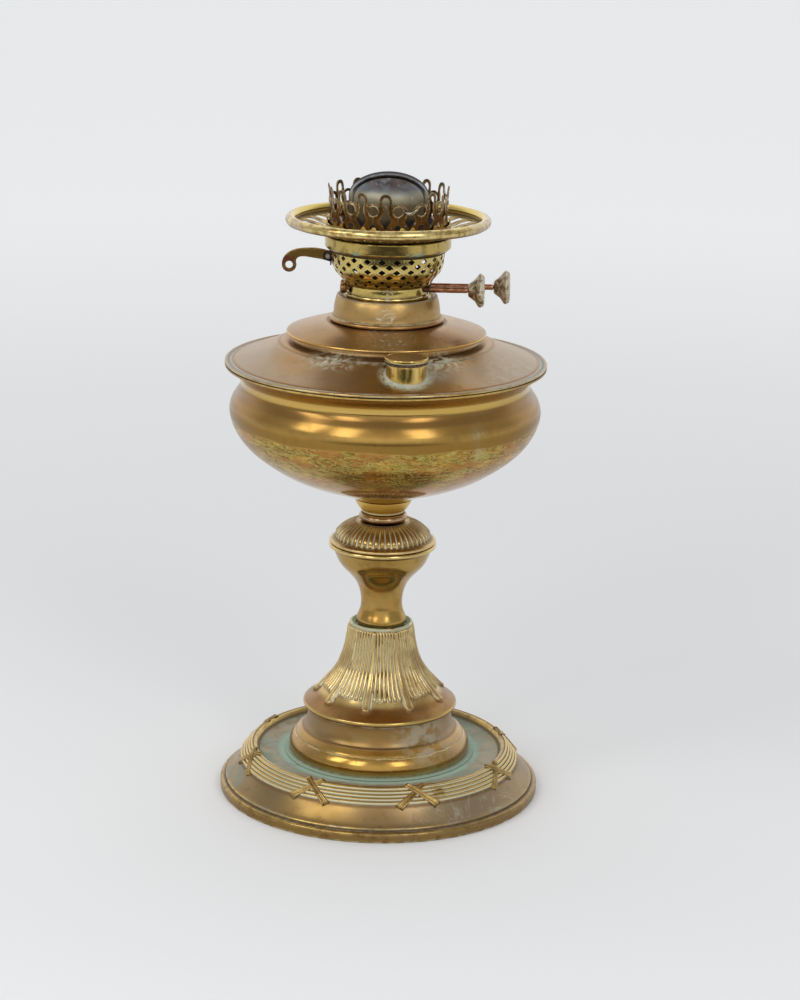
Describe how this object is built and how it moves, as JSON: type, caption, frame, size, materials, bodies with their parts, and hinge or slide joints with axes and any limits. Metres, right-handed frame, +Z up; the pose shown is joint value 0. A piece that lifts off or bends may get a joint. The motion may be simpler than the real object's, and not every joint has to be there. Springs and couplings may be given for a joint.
{
  "type": "oil lamp",
  "caption": "Brass table oil lamp: round stepped base, baluster column, compressed fount with filler, and a two-wick burner with gallery, shade ring, winders and snuffer.",
  "frame": {"origin": "middle of the base's underside, on the surface the lamp stands on", "axes": "+Z up along the lamp's axis, +X to the winder knobs, -X to the snuffer lever, -Y to the front with the filler"},
  "size_m": [0.1858, 0.1858, 0.3618],
  "materials": {
    "base_brass": "aged, matte, verdigris in the grooves and the gutter",
    "dome_brass": "aged, satin, brown towards its foot",
    "bell_brass": "polished ribs, pale verdigris between the reeds",
    "column_brass": "polished with a thin patina",
    "knop_brass": "aged, pale residue between the gadroons",
    "ring_copper": "coppery red brass, polished",
    "fount_brass": "polished above, mottled patina below",
    "shoulder_brass": "aged, matte, whitish verdigris near the seams",
    "collar_brass": "aged, satin",
    "filler_brass": "polished with stains",
    "seal_leather": "pale, dried, greenish",
    "burner_brass": "bright yellow, light stains",
    "gallery_brass": "bright yellow, brown stains",
    "coronet_brass": "dark, heat-oxidised, rubbed bright on its edges",
    "dome_plate": "blue-grey heat tints, pale lower edge",
    "snuffer_metal": "dull, oxidised",
    "lever_brass": "olive-brown, satin",
    "pin_steel": "worn grey",
    "spindle_copper": "reddish brown, dull",
    "knob_nickel": "nickel plate worn through to brown brass",
    "wick_cotton": "woven cotton, charred top edge",
    "base_iron": "rough, dark",
    "rod_steel": "dull, lightly rusted"
  },
  "bodies": {
    "lamp_body": {"base_shell": "base_brass", "base_weight": "base_iron", "tie_washer": "rod_steel", "tie_nut": "rod_steel", "tie_rod": "rod_steel", "foot_dome": "dome_brass", "reeded_bell": "bell_brass", "column_baluster": "column_brass", "knop_cap": "knop_brass", "neck_ring": "ring_copper", "fount_foot": "column_brass", "fount_bowl": "fount_brass", "fount_shoulder": "shoulder_brass", "fount_cap_disc": "shoulder_brass", "fount_collar": "collar_brass", "filler_neck": "filler_brass"},
    "filler_seal": {"filler_washer": "seal_leather"},
    "filler_cap": {"filler_cap": "filler_brass"},
    "burner": {"burner_skirt": "burner_brass", "burner_floor": "burner_brass", "air_basket": "burner_brass", "front_wick_tube": "burner_brass", "rear_wick_tube": "burner_brass", "lever_bracket": "snuffer_metal", "lever_pin": "pin_steel"},
    "front_winder": {"front_spindle": "spindle_copper", "front_spindle_button": "snuffer_metal", "front_spur_wheel_left": "snuffer_metal", "front_spur_wheel_right": "snuffer_metal", "front_knob": "knob_nickel"},
    "rear_winder": {"rear_spindle": "spindle_copper", "rear_spindle_button": "snuffer_metal", "rear_spur_wheel_left": "snuffer_metal", "rear_spur_wheel_right": "snuffer_metal", "rear_knob": "knob_nickel"},
    "front_wick": {"front_wick": "wick_cotton"},
    "rear_wick": {"rear_wick": "wick_cotton"},
    "snuffer": {"snuffer_carrier": "snuffer_metal", "front_snuffer_sleeve": "snuffer_metal", "rear_snuffer_sleeve": "snuffer_metal"},
    "lever": {"snuffer_lever": "lever_brass"},
    "gallery": {"gallery_band": "gallery_brass", "shade_ring": "gallery_brass", "coronet": "coronet_brass", "chimney_seat": "coronet_brass", "dome": "dome_plate"}
  },
  "joints": [
    {"name": "filler_lift", "type": "slide", "parent": "lamp_body", "child": "filler_seal", "axis": [0, 0, 1], "range_m": [0, 0.006]},
    {"name": "filler_turn", "type": "hinge", "parent": "filler_seal", "child": "filler_cap", "pos_m": [0.0114, -0.0684, 0.2697], "axis": [0, 0, 1], "range_deg": [0, 720.1]},
    {"name": "burner_lift", "type": "slide", "parent": "lamp_body", "child": "burner", "axis": [0, 0, 1], "range_m": [0, 0.03]},
    {"name": "front_winder_turn", "type": "hinge", "parent": "burner", "child": "front_winder", "pos_m": [0.03, -0.0057, 0.2971], "axis": [1, 0, 0], "range_deg": [-123.5, 211.6]},
    {"name": "rear_winder_turn", "type": "hinge", "parent": "burner", "child": "rear_winder", "pos_m": [0.03, 0.0057, 0.2971], "axis": [1, 0, 0], "range_deg": [-211.6, 123.5]},
    {"name": "front_wick_slide", "type": "slide", "parent": "burner", "child": "front_wick", "axis": [0, 0, 1], "range_m": [-0.0096, 0.0056]},
    {"name": "rear_wick_slide", "type": "slide", "parent": "burner", "child": "rear_wick", "axis": [0, 0, 1], "range_m": [-0.0096, 0.0056]},
    {"name": "snuffer_lift", "type": "slide", "parent": "burner", "child": "snuffer", "axis": [0, 0, 1], "range_m": [0, 0.0058]},
    {"name": "lever_tilt", "type": "hinge", "parent": "burner", "child": "lever", "pos_m": [-0.0333, 0, 0.3142], "axis": [0, -1, 0], "range_deg": [0, 24.2]},
    {"name": "gallery_lift", "type": "slide", "parent": "burner", "child": "gallery", "axis": [0, 0, 1], "range_m": [0, 0.04]}
  ],
  "couplings": [
    {"joint": "filler_turn", "follows": "filler_lift", "rad_per_m": 2094.4},
    {"joint": "front_winder_turn", "follows": "front_wick_slide", "rad_per_m": -384.6},
    {"joint": "rear_winder_turn", "follows": "rear_wick_slide", "rad_per_m": 384.6},
    {"joint": "lever_tilt", "follows": "snuffer_lift", "rad_per_m": 72.46}
  ]
}
